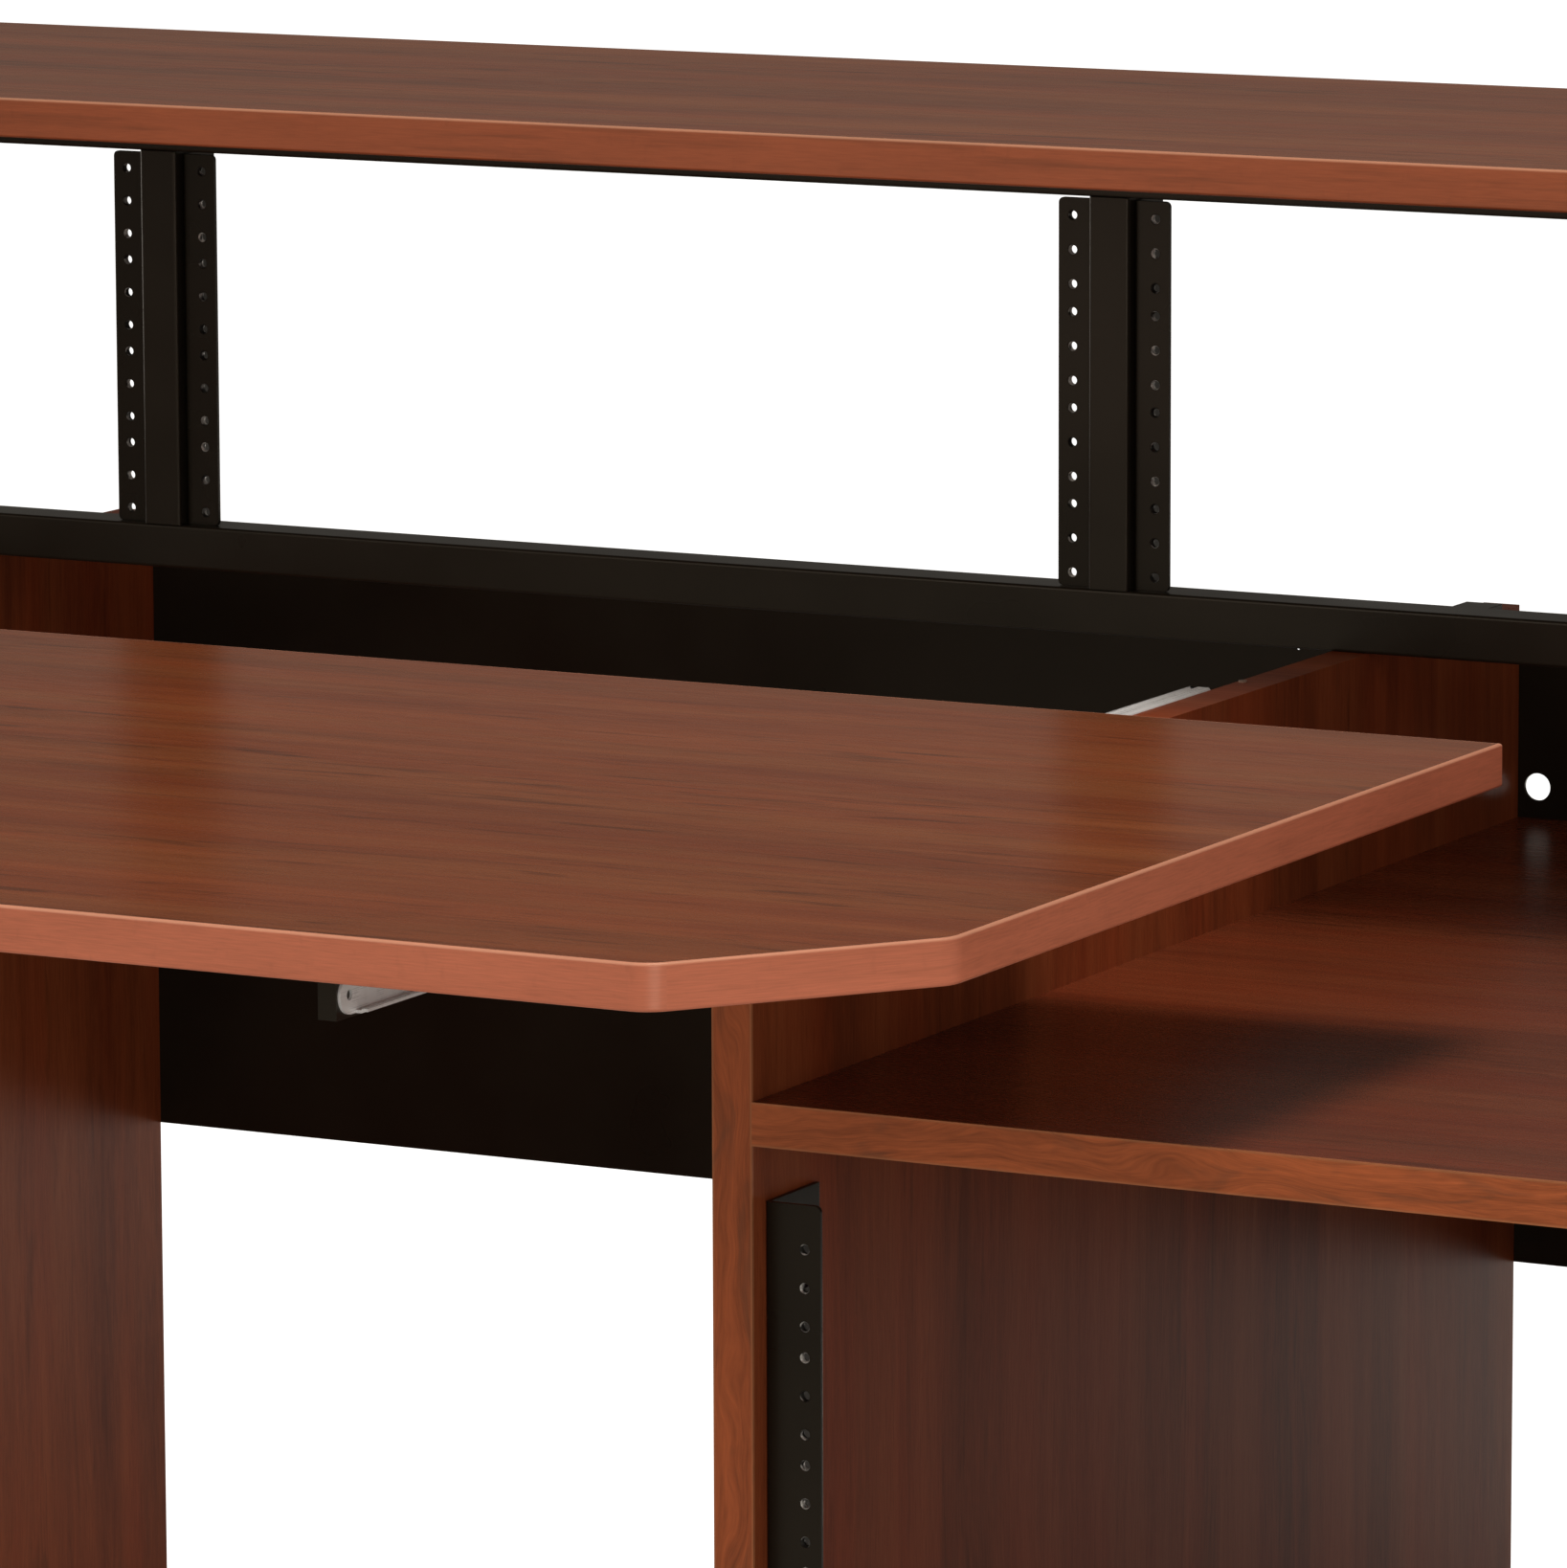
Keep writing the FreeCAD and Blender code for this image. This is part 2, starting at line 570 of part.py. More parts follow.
board = tray_plate("band_thk", "tray_round-band_thk")
node("tray_board", cut(board, holes_at(hanger_screws)))
core = tray_plate("band_thk", "tray_round-band_thk")
band = tray_plate("0*band_thk", "tray_round")
band.Tip = round_edges(band, band.Tip, along_face, "band_round")
node("tray_band", cut(band, [core]))
screws_at("hanger_screws", hanger_screws)


# ---------------------------------------------------------------- slides and hangers
def channel(side, web_at, web_thk, open_to, high, y, length):
    """Slide member: a web and two flanges; distances are measured from the panel's inner face inwards."""
    web = block([web_thk, length, high],
                [flip(side, "x_inner-(%s)-%s" % (web_at, web_thk), web_thk), y, "z_slide-(%s)/2" % high])
    flange_from = "(%s)" % min_text(web_at, open_to)
    flange_wide = "(%s)" % span_text(web_at, web_thk, open_to)
    flanges = []
    for low in ("z_slide-(%s)/2" % high, "z_slide+(%s)/2-slide_thk" % high):
        flanges.append(block([flange_wide, length, "slide_thk"],
                             [flip(side, "x_inner-%s-%s" % (flange_from, flange_wide), flange_wide), y, low]))
    return fuse([web] + flanges)


def min_text(web_at, open_to):
    return web_at if value_of(web_at) < value_of(open_to) else open_to


def span_text(web_at, web_thk, open_to):
    if value_of(web_at) < value_of(open_to):
        return "%s-(%s)" % (open_to, web_at)
    return "(%s)+%s-(%s)" % (web_at, web_thk, open_to)


for side_name, side in SIDES:
    outer = channel(side, "0", "slide_thk", "slide_width-0.9", "slide_height", "y_slide", "slide_length")
    node("slide_outer_" + side_name, cut(outer, holes_at(slide_screws, (side_name, "inner"))))
    node("slide_mid_" + side_name,
         channel(side, "mid_web", "slide_thk", "slide_width-1.6", "mid_height", "y_slide-tray_out/2",
                 "slide_length"))
    inner_y = "y_slide-tray_out"
    inner = channel(side, "slide_width-slide_thk", "slide_thk", "mid_web+slide_thk+0.8", "inner_height",
                    inner_y, "slide_length")
    ends = [block(["slide_width", "10", "inner_height+2"],
                  [flip(side, "x_inner-slide_width+slide_thk", "slide_width"), inner_y + "-1",
                   "z_slide-inner_height/2-1"])]
    ends.append(rod("4.2", "slide_width+4",
                    [flip(side, "x_inner-slide_width-2", "slide_width+4"), inner_y + "+7", "z_slide"], "x"))
    node("slide_inner_" + side_name, cut(inner, ends))
    upright_bar = block(["hanger_width", "hanger_length", "hanger_low+tray_gap"],
                        [flip(side, hanger_x, "hanger_width"), hanger_y, "desk_height-hanger_low"])
    flange = block(["hanger_flange+1", "hanger_length", "sheet_thk"],
                   [flip(side, hanger_x + "-hanger_flange", "hanger_flange+1"), hanger_y, "z_tray-sheet_thk"])
    hollow = block(["hanger_width-2*sheet_thk", "hanger_length", "hanger_low+tray_gap-2*sheet_thk"],
                   [flip(side, hanger_x + "+sheet_thk", "hanger_width-2*sheet_thk"), hanger_y + "+sheet_thk",
                    "desk_height-hanger_low+sheet_thk"])
    node("hanger_" + side_name, cut(fuse([upright_bar, flange]), [hollow] + holes_at(hanger_screws, side_name)))
screws_at("slide_screws", slide_screws)

# ---------------------------------------------------------------- check and write
doc.recompute()
os.makedirs("parts", exist_ok=True)
for obj in doc.Objects:
    if "Invalid" in obj.State or "Error" in obj.State:
        raise RuntimeError("%s is in state %s" % (obj.Label, obj.State))
for obj in nodes:
    if obj.Shape.isNull() or not obj.Shape.isValid():
        raise RuntimeError("%s has no valid shape" % obj.Label)
    obj.Shape.exportStep("parts/%s.step" % obj.Label)
print(len(nodes), "nodes written")
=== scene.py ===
"""Looks for the studio computer desk: laminate boards, wood-print edge bands, black steel and zinc slides."""
import json
import math
import bmesh
import bpy
from mathutils import Matrix, Vector


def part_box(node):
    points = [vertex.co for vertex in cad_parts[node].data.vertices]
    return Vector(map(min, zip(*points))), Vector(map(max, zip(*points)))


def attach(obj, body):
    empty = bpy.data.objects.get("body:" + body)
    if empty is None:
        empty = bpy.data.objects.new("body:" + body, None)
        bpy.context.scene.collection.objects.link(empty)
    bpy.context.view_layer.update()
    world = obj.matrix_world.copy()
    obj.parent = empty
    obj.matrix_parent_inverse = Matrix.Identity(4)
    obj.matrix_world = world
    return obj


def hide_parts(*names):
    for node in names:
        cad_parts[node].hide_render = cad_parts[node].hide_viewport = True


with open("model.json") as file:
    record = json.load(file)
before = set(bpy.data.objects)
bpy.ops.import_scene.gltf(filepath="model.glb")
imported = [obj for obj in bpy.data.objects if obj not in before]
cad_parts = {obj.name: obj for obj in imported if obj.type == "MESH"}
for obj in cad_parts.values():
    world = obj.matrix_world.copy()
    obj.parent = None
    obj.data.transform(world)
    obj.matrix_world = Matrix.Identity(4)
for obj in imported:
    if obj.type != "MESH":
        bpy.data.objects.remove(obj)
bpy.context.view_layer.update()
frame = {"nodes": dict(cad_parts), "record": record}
nodes = frame["nodes"]
MM = 0.001
SAME_POINT = 0.001 * MM


# ---------------------------------------------------------------- node helpers
def shade(colour, factor):
    """The colour made lighter or darker by a factor."""
    return [channel * factor for channel in colour]


class Graph:
    """Small helper round a material's node tree."""

    def __init__(self, name):
        self.material = bpy.data.materials.new(name)
        self.material.use_nodes = True
        self.tree = self.material.node_tree
        self.shader = self.tree.nodes["Principled BSDF"]
        self.coords = self.tree.nodes.new("ShaderNodeTexCoord")

    def add(self, kind, inputs=(), **settings):
        node = self.tree.nodes.new(kind)
        for key, value in settings.items():
            setattr(node, key, value)
        for key, value in dict(inputs).items():
            self.feed(node.inputs[key], value)
        return node

    def feed(self, socket, value):
        """Links another node's output to the socket, or sets its number or colour."""
        if isinstance(value, bpy.types.NodeSocket):
            self.tree.links.new(value, socket)
        else:
            socket.default_value = value

    def math(self, kind, a, b=0.0):
        return self.add("ShaderNodeMath", {0: a, 1: b}, operation=kind).outputs[0]

    def split(self, vector):
        return self.add("ShaderNodeSeparateXYZ", {0: vector}).outputs

    def join(self, x, y, z):
        return self.add("ShaderNodeCombineXYZ", {0: x, 1: y, 2: z}).outputs[0]

    def noise(self, vector, scale=1.0, detail=2.0, rough=0.5, warp=0.0):
        node = self.add("ShaderNodeTexNoise", {"Vector": vector, "Scale": scale, "Detail": detail,
                                               "Roughness": rough, "Distortion": warp})
        return node.outputs["Fac"]

    def ramp(self, value, stops):
        """Colours along a value; stops are (value, colour) pairs, lowest first."""
        node = self.add("ShaderNodeValToRGB", {0: value})
        elements = node.color_ramp.elements
        while len(elements) < len(stops):
            elements.new(0.5)
        for element, (spot, colour) in zip(elements, stops):
            element.position = spot
            element.color = (*colour, 1.0)
        return node.outputs["Color"]

    def grey(self, value, low, high, out_low=0.0, out_high=1.0):
        """The value's place between low and high, carried over to the two outputs."""
        node = self.add("ShaderNodeMapRange", {"Value": value, "From Min": low, "From Max": high,
                                               "To Min": out_low, "To Max": out_high})
        return node.outputs[0]

    def mix(self, factor, a, b, kind="MIX"):
        node = self.add("ShaderNodeMix", data_type="RGBA", blend_type=kind)
        self.feed(node.inputs[0], factor)
        self.feed(node.inputs[6], a if isinstance(a, bpy.types.NodeSocket) else (*a, 1.0))
        self.feed(node.inputs[7], b if isinstance(b, bpy.types.NodeSocket) else (*b, 1.0))
        return node.outputs[2]

    def bump(self, height, strength, distance):
        node = self.add("ShaderNodeBump", {"Height": height, "Strength": strength, "Distance": distance})
        return node.outputs[0]

    def weighted(self, *parts):
        """Sum of (value, weight) parts."""
        total = None
        for value, weight in parts:
            part = self.math("MULTIPLY", value, weight)
            total = part if total is None else self.math("ADD", total, part)
        return total

    def swayed(self, across, noise, reach):
        """The place across the grain, moved to either side by a noise, by up to half the reach in metres."""
        return self.math("ADD", across, self.math("MULTIPLY", self.math("SUBTRACT", noise, 0.5), reach))

    def streaks(self, grain, per_metre, detail=2.0, rough=0.5, warp=0.0, shift=0.0):
        """Noise drawn out along a grain of (along, across, depth); per_metre is how fine along and across."""
        along, across, depth = grain
        vector = self.join(self.math("MULTIPLY", along, per_metre[0]),
                           self.math("MULTIPLY", across, per_metre[1]), self.math("ADD", depth, shift))
        return self.noise(vector, 1.0, detail, rough, warp)

    def surface(self, **values):
        """Feeds the shader's inputs, with _ for a space in their names, and gives back the material."""
        for key, value in values.items():
            self.feed(self.shader.inputs[key.replace("_", " ")], value)
        return self.material


def grain_coords(graph, axis):
    """(along, across, depth) in metres for grain along the axis; 'band' follows each edge."""
    x, y, z = graph.split(graph.coords.outputs["Object"])
    if axis == "x":
        return x, y, z
    if axis == "z":
        return z, y, x
    normal_x = graph.split(graph.coords.outputs["Normal"])[0]
    side = graph.math("GREATER_THAN", graph.math("ABSOLUTE", normal_x), 0.75)
    along = graph.add("ShaderNodeMix", data_type="FLOAT")
    for index, value in ((0, side), (2, x), (3, y)):
        graph.feed(along.inputs[index], value)
    return along.outputs[0], z, graph.math("ADD", x, y)


def laminate(name, axis, colour, specular=0.5, roughness=0.28, contrast=1.0, veins=1.0, seed=0.0):
    """Printed wood laminate: soft broad bands, fine fibre and pores, short dark veins in loose rows."""
    g = Graph(name)
    along, across, depth = grain_coords(g, axis)
    depth = g.math("ADD", depth, seed)
    drift = g.streaks((along, across, depth), (3.0, 5.0))
    grain = (along, g.swayed(across, drift, 0.022), depth)
    broad = g.streaks(grain, (1.6, 24.0), 2.0, 0.5, 0.3)
    streak = g.streaks(grain, (9.0, 150.0), 3.0, 0.6, 0.2, 3.1)
    fibre = g.streaks(grain, (60.0, 900.0), 2.0, 0.6, 0.0, 7.7)
    row = g.streaks(grain, (1.2, 17.0), 1.0, 0.5, 0.0, 13.9)
    vein = g.streaks(grain, (14.0, 175.0), 2.0, 0.5, 0.6, 11.3)
    fine_vein = g.streaks(grain, (34.0, 420.0), 1.0, 0.5, 0.3, 17.3)
    pore = g.streaks(grain, (190.0, 1700.0), 1.0, 0.5, 0.0, 5.9)
    hue = g.streaks(grain, (2.4, 30.0), 1.0)
    tone = g.weighted((broad, 0.50), (streak, 0.30), (fibre, 0.20))
    spread = 0.26 * contrast
    dark = [c * k for c, k in zip(colour, (1.0 - spread, 1.0 - 1.1 * spread, 1.0 - 0.9 * spread))]
    light = [c * k for c, k in zip(colour, (1.0 + spread, 1.0 + 1.35 * spread, 1.0 + 1.35 * spread))]
    paint = g.ramp(tone, [(0.36, dark), (0.50, colour), (0.64, light)])
    paint = g.mix(g.grey(hue, 0.42, 0.62, 0.0, 0.5), paint, (1.05, 0.78, 0.72), "MULTIPLY")
    in_row = g.grey(row, 0.44, 0.58, 0.12, 1.0)
    ink = g.math("MULTIPLY", g.grey(vein, 0.585, 0.70, 0.0, 0.62 * veins), in_row)
    paint = g.mix(ink, paint, shade(colour, 0.30))
    ink = g.math("MULTIPLY", g.grey(fine_vein, 0.62, 0.74, 0.0, 0.45 * veins), in_row)
    paint = g.mix(ink, paint, shade(colour, 0.42))
    paint = g.mix(g.grey(pore, 0.62, 0.74, 0.0, 0.30), paint, shade(colour, 0.5))
    paint = g.mix(g.grey(pore, 0.22, 0.34, 0.22, 0.0), paint, [min(1.0, c) for c in shade(colour, 1.8)])
    rough = g.grey(fibre, 0.3, 0.7, roughness + 0.04, roughness - 0.03)
    height = g.math("SUBTRACT", g.math("MULTIPLY", fibre, 0.5), g.grey(pore, 0.60, 0.72, 0.0, 0.6))
    return g.surface(Base_Color=paint, Roughness=rough, Specular_IOR_Level=specular,
                     Specular_Tint=(1.0, 0.90, 0.80, 1.0), Normal=g.bump(height, 0.08, 0.0001))


def band_surface(g, paint, fibre, rough_high, rough_low, relief):
    """Satin finish that both kinds of edge band share."""
    return g.surface(Base_Color=paint, Roughness=g.grey(fibre, 0.3, 0.7, rough_high, rough_low),
                     Specular_IOR_Level=0.35, Specular_Tint=(1.0, 0.85, 0.72, 1.0),
                     Normal=g.bump(fibre, relief, 0.00008))


def plain_band(name, colour, board, brown):
    """Salmon wood-print edge band: faint fibre, brown streaks and a painted highlight along its upper edge.
    """
    g = Graph(name)
    grain = grain_coords(g, "band")
    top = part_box(board)[1].z
    cloud = g.streaks(grain, (12.0, 60.0), 2.0, 0.55, shift=1.7)
    fibre = g.streaks(grain, (90.0, 1500.0), 2.0, 0.55, shift=4.1)
    tick = g.streaks(grain, (260.0, 120.0), 1.0, 0.55, shift=8.3)
    streak = g.streaks(grain, (7.0, 210.0), 3.0, 0.55, shift=12.6)
    tone = g.weighted((cloud, 0.45), (fibre, 0.55))
    paint = g.ramp(tone, [(0.34, shade(colour, 0.86)), (0.5, colour), (0.66, shade(colour, 1.12))])
    paint = g.mix(g.grey(tick, 0.64, 0.78, 0.0, 0.16), paint, shade(colour, 0.6))
    paint = g.mix(g.grey(streak, 0.50, 0.72, 0.0, brown), paint, (0.130, 0.040, 0.018))
    # painted highlight: a pale strip just under the top edge stands in for light caught by the band's rounded
    # upper edge
    line = g.grey(grain[1], top - 1.3 * MM, top - 0.5 * MM, 0.0, 0.42)
    paint = g.mix(line, paint, (0.72, 0.42, 0.28))
    return band_surface(g, paint, fibre, 0.36, 0.28, 0.10)


def figured_band(name, colour, upright, edges):
    """Figured wood-print band: flowing grain, brown smoky knots and paler strips along the band edges.

    edges is (axis, middle of the bands, half width) for each run of bands, in metres.
    """
    g = Graph(name)
    x, y, z = g.split(g.coords.outputs["Object"])
    along, across = (z, x) if upright else (x, z)
    sway = g.streaks((along, across, y), (9.0, 22.0))
    grain = (along, g.swayed(across, sway, 0.045), y)
    flow = g.streaks(grain, (10.0, 190.0), 3.0, 0.6, 0.4, 1.7)
    fibre = g.streaks(grain, (90.0, 1300.0), 2.0, 0.6, 0.0, 4.1)
    smoke = g.streaks(grain, (22.0, 75.0), 2.0, 0.6, 0.8, 9.2)
    tone = g.weighted((flow, 0.65), (fibre, 0.35))
    paint = g.ramp(tone, [(0.33, shade(colour, 0.60)), (0.5, colour), (0.67, shade(colour, 1.35))])
    paint = g.mix(g.grey(smoke, 0.56, 0.74, 0.0, 0.60), paint, (0.150, 0.058, 0.030))
    # paler strips just inside each band edge
    pale = None
    for axis, centre, half in edges:
        place = g.math("ABSOLUTE", g.math("SUBTRACT", {"x": x, "z": z}[axis], centre))
        near = g.grey(place, half - 1.1 * MM, half - 0.4 * MM, 0.0, 1.0)
        near = g.math("MULTIPLY", near, g.math("LESS_THAN", place, half + 2.0 * MM))
        pale = near if pale is None else g.math("MAXIMUM", pale, near)
    paint = g.mix(g.math("MULTIPLY", pale, 0.45), paint, (0.45, 0.20, 0.09))
    return band_surface(g, paint, fibre, 0.44, 0.36, 0.12)


def powder_coat(name, colour, roughness, orange_peel=0.25):
    """Satin powder coat: slight orange peel, cloudy sheen, pale flecks and softened edges."""
    g = Graph(name)
    spot = g.coords.outputs["Object"]
    peel = g.noise(spot, 900.0, 2.0, 0.55)
    cloud = g.noise(spot, 9.0, 3.0, 0.6)
    fleck = g.noise(spot, 4200.0, 1.0)
    base = g.mix(g.grey(cloud, 0.35, 0.7), shade(colour, 0.86), shade(colour, 1.22))
    base = g.mix(g.grey(fleck, 0.68, 0.76, 0.0, 0.5), base, shade(colour, 2.6))
    rough = g.grey(cloud, 0.3, 0.7, roughness - 0.04, roughness + 0.05)
    edge = g.add("ShaderNodeBevel", {"Radius": 0.0006}, samples=3)
    node = g.add("ShaderNodeBump", {"Height": peel, "Strength": orange_peel, "Distance": 0.00008,
                                    "Normal": edge.outputs[0]})
    return g.surface(Base_Color=base, Roughness=rough, Specular_IOR_Level=0.32,
                     Specular_Tint=(1.0, 0.86, 0.70, 1.0), Normal=node.outputs[0])


def plated(name, colour, roughness, rolled=(900.0, 900.0, 900.0), metallic=1.0):
    """Plated steel: fine lines, given per metre along each axis, over a faint cloudy finish."""
    g = Graph(name)
    spot = g.coords.outputs["Object"]
    vector = g.join(*[g.math("MULTIPLY", value, factor) for value, factor in zip(g.split(spot), rolled)])
    line = g.noise(vector, 1.0, 2.0)
    cloud = g.noise(spot, 60.0, 3.0, 0.6)
    base = g.mix(cloud, shade(colour, 0.88), colour)
    rough = g.grey(g.weighted((line, 0.6), (cloud, 0.4)), 0.3, 0.7, roughness - 0.06, roughness + 0.08)
    return g.surface(Base_Color=base, Metallic=metallic, Roughness=rough, Normal=g.bump(line, 0.06, 0.00002))


def moulded(name, colour, roughness):
    """Moulded plastic: fine grain and slight clouding."""
    g = Graph(name)
    grain = g.noise(g.coords.outputs["Object"], 1500.0, 2.0)
    cloud = g.noise(g.coords.outputs["Object"], 40.0, 2.0)
    base = g.mix(cloud, shade(colour, 0.8), shade(colour, 1.2))
    return g.surface(Base_Color=base, Roughness=g.grey(grain, 0.3, 0.7, roughness - 0.05, roughness + 0.05),
                     Specular_IOR_Level=0.4, Normal=g.bump(grain, 0.3, 0.0001))


# ---------------------------------------------------------------- materials
def middle(node, axis):
    """Middle of a CAD node's box along an axis, in metres."""
    low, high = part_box(node)
    return (low[axis] + high[axis]) / 2.0


HALF_BOARD = 9.0 * MM
ROLLED_ALONG_Y = (2600.0, 14.0, 2600.0)
panel_edges = [("x", middle(f"{side}_panel_{hand}", 0), HALF_BOARD)
               for side in ("inner", "outer") for hand in ("left", "right")]
shelf_edges = [("z", middle("bay_shelf_left", 2), HALF_BOARD), ("z", middle("bay_floor_left", 2), HALF_BOARD)]
LOOKS = {
    "wood_top": laminate("wood_top", "x", (0.212, 0.056, 0.018), roughness=0.25),
    "wood_panel": laminate("wood_panel", "z", (0.255, 0.060, 0.021), 0.06, 0.38, 1.25, 0.6, 4.0),
    "wood_shelf": laminate("wood_shelf", "x", (0.175, 0.038, 0.014), roughness=0.26, seed=9.0),
    "edge_band": plain_band("edge_band", (0.560, 0.170, 0.096), "tray_board", 0.12),
    "panel_band": figured_band("panel_band", (0.410, 0.103, 0.034), False, shelf_edges),
    "black_steel": powder_coat("black_steel", (0.0150, 0.0120, 0.0085), 0.30),
    "rail_steel": powder_coat("rail_steel", (0.0095, 0.0074, 0.0050), 0.28),
    "zinc": plated("zinc", (0.92, 0.92, 0.93), 0.28, ROLLED_ALONG_Y, 0.15),
    "black_plastic": moulded("black_plastic", (0.016, 0.016, 0.016), 0.45),
    "screw_black": plated("screw_black", (0.06, 0.06, 0.062), 0.38),
    "screw_zinc": plated("screw_zinc", (0.66, 0.66, 0.67), 0.28),
    "beech": laminate("beech", "z", (0.55, 0.38, 0.22), 0.3, 0.5),
    "cap_brown": moulded("cap_brown", (0.30, 0.20, 0.15), 0.4),
}
OWN_LOOKS = {
    "panel_front_bands": figured_band("panel_front_band", (0.360, 0.086, 0.028), True, panel_edges),
    "top_shelf_band": plain_band("top_shelf_band", (0.330, 0.086, 0.036), "top_shelf", 0.55),
}
for part in frame["record"]["subparts"]:
    surface_looks = nodes[part["node"]].data.materials
    surface_looks.clear()
    surface_looks.append(OWN_LOOKS.get(part["node"], LOOKS[part["material_slot"]]))


# ---------------------------------------------------------------- mesh helpers
SMOOTH_BELOW = math.radians(35.0)


def finish_piece(name, bm, look, body, stands_for):
    """Turns a bmesh into a smooth-shaded piece that rides on its body in place of a CAD node."""
    bmesh.ops.recalc_face_normals(bm, faces=bm.faces)
    for edge in bm.edges:
        edge.smooth = len(edge.link_faces) == 2 and edge.calc_face_angle(0.0) < SMOOTH_BELOW
    for face in bm.faces:
        face.smooth = True
    mesh = bpy.data.meshes.new(name)
    bm.to_mesh(mesh)
    bm.free()
    mesh.materials.append(look)
    piece = bpy.data.objects.new(name, mesh)
    bpy.context.scene.collection.objects.link(piece)
    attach(piece, body)
    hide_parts(stands_for)


def join_rings(bm, lower, upper):
    """Faces between two closed rings with the same number of vertices."""
    for i in range(len(lower)):
        j = (i + 1) % len(lower)
        bm.faces.new((lower[i], lower[j], upper[j], upper[i]))


def box_of(points):
    """Lowest and highest corners of some points."""
    low = Vector([min(point[i] for point in points) for i in range(3)])
    high = Vector([max(point[i] for point in points) for i in range(3)])
    return low, high


def linked_groups(starts, neighbours):
    """The starting points sorted into groups that neighbours(point) links together."""
    seen = set()
    groups = []
    for start in starts:
        if start in seen:
            continue
        seen.add(start)
        stack = [start]
        group = []
        while stack:
            point = stack.pop()
            group.append(point)
            for other in neighbours(point):
                if other not in seen:
                    seen.add(other)
                    stack.append(other)
        groups.append(group)
    return groups


def welded(node):
    """A CAD node's mesh as a bmesh, with its doubled vertices merged."""
    bm = bmesh.new()
    bm.from_mesh(nodes[node].data)
    bmesh.ops.remove_doubles(bm, verts=bm.verts, dist=SAME_POINT)
    return bm


def islands(node):
    """Bounding box and points of every separate solid of a CAD node."""
    bm = welded(node)
    found = []
    for group in linked_groups(bm.verts, lambda vert: [edge.other_vert(vert) for edge in vert.link_edges]):
        points = [vert.co.copy() for vert in group]
        found.append((*box_of(points), points))
    bm.free()
    return found


# ---------------------------------------------------------------- ball slides
SLIDE_SHEET = 1.2


def arc(centre_x, centre_z, radius, start, end, steps=5):
    """Points on an arc in the profile plane, angles in degrees."""
    return [(centre_x + radius * math.cos(math.radians(start + (end - start) * i / steps)),
             centre_z + radius * math.sin(math.radians(start + (end - start) * i / steps)))
            for i in range(steps + 1)]


def slide_profile(width, half):
    """Rolled ball slide in mm: web at x = 0, flanges with a ball groove and a turned-in lip."""
    thick = SLIDE_SHEET
    web_bend, open_bend, lip_depth = 1.6, 1.9, 2.8
    groove_outside = ((-1.9, 0.0), (-1.4, 1.0), (-0.6, 1.5), (0.6, 1.5), (1.4, 1.0), (1.9, 0.0))
    groove_inside = ((1.4, 1.0), (0.6, 1.5), (-0.6, 1.5), (-1.4, 1.0), (-2.6, 0.0))
    groove = 0.70 * width
    outer = arc(web_bend, half - web_bend, web_bend, 180, 90)
    outer += [(groove + x, half - z) for x, z in groove_outside]
    outer += arc(width - open_bend, half - open_bend, open_bend, 90, 0)
    outer += [(width, half - lip_depth)]
    inner = [(width - thick, half - lip_depth)]
    inner += arc(width - open_bend, half - open_bend, open_bend - thick, 0, 90)
    inner += [(groove + x, half - thick - z) for x, z in groove_inside]
    inner += arc(web_bend, half - web_bend, web_bend - thick, 90, 180)
    return outer + inner + [(x, -z) for x, z in reversed(inner)] + [(x, -z) for x, z in reversed(outer)]


def rolled_slide(node, body):
    """Outer slide member: one rolled profile along the box of its CAD node, open towards the tray."""
    low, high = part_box(node)
    inward = -1.0 if middle(node, 0) > 0.0 else 1.0
    web = high.x if inward < 0.0 else low.x
    centre = middle(node, 2)
    profile = slide_profile((high.x - low.x) / MM, (high.z - low.z) / 2.0 / MM)
    bm = bmesh.new()
    rings = [[bm.verts.new((web + inward * x * MM, y, centre + z * MM)) for x, z in profile]
             for y in (low.y, high.y)]
    join_rings(bm, *rings)
    for ring in rings:
        bm.faces.new(ring)
    finish_piece(node + "_rolled", bm, LOOKS["zinc"], body, node)


def pierced_plate(bm, outlines, near_at, far_at, place):
    """Plate between two depths; outlines are its edge and its holes, and place(depth, a, b) is a point."""
    near_edges = []
    far_edges = []
    for outline in outlines:
        near = [bm.verts.new(place(near_at, a, b)) for a, b in outline]
        far = [bm.verts.new(place(far_at, a, b)) for a, b in outline]
        for i in range(len(outline)):
            j = (i + 1) % len(outline)
            bm.faces.new((near[i], far[i], far[j], near[j]))
            near_edges.append(bm.edges.get((near[i], near[j])))
            far_edges.append(bm.edges.get((far[i], far[j])))
    for edges in (near_edges, far_edges):
        bmesh.ops.triangle_fill(bm, edges=edges, use_beauty=True)


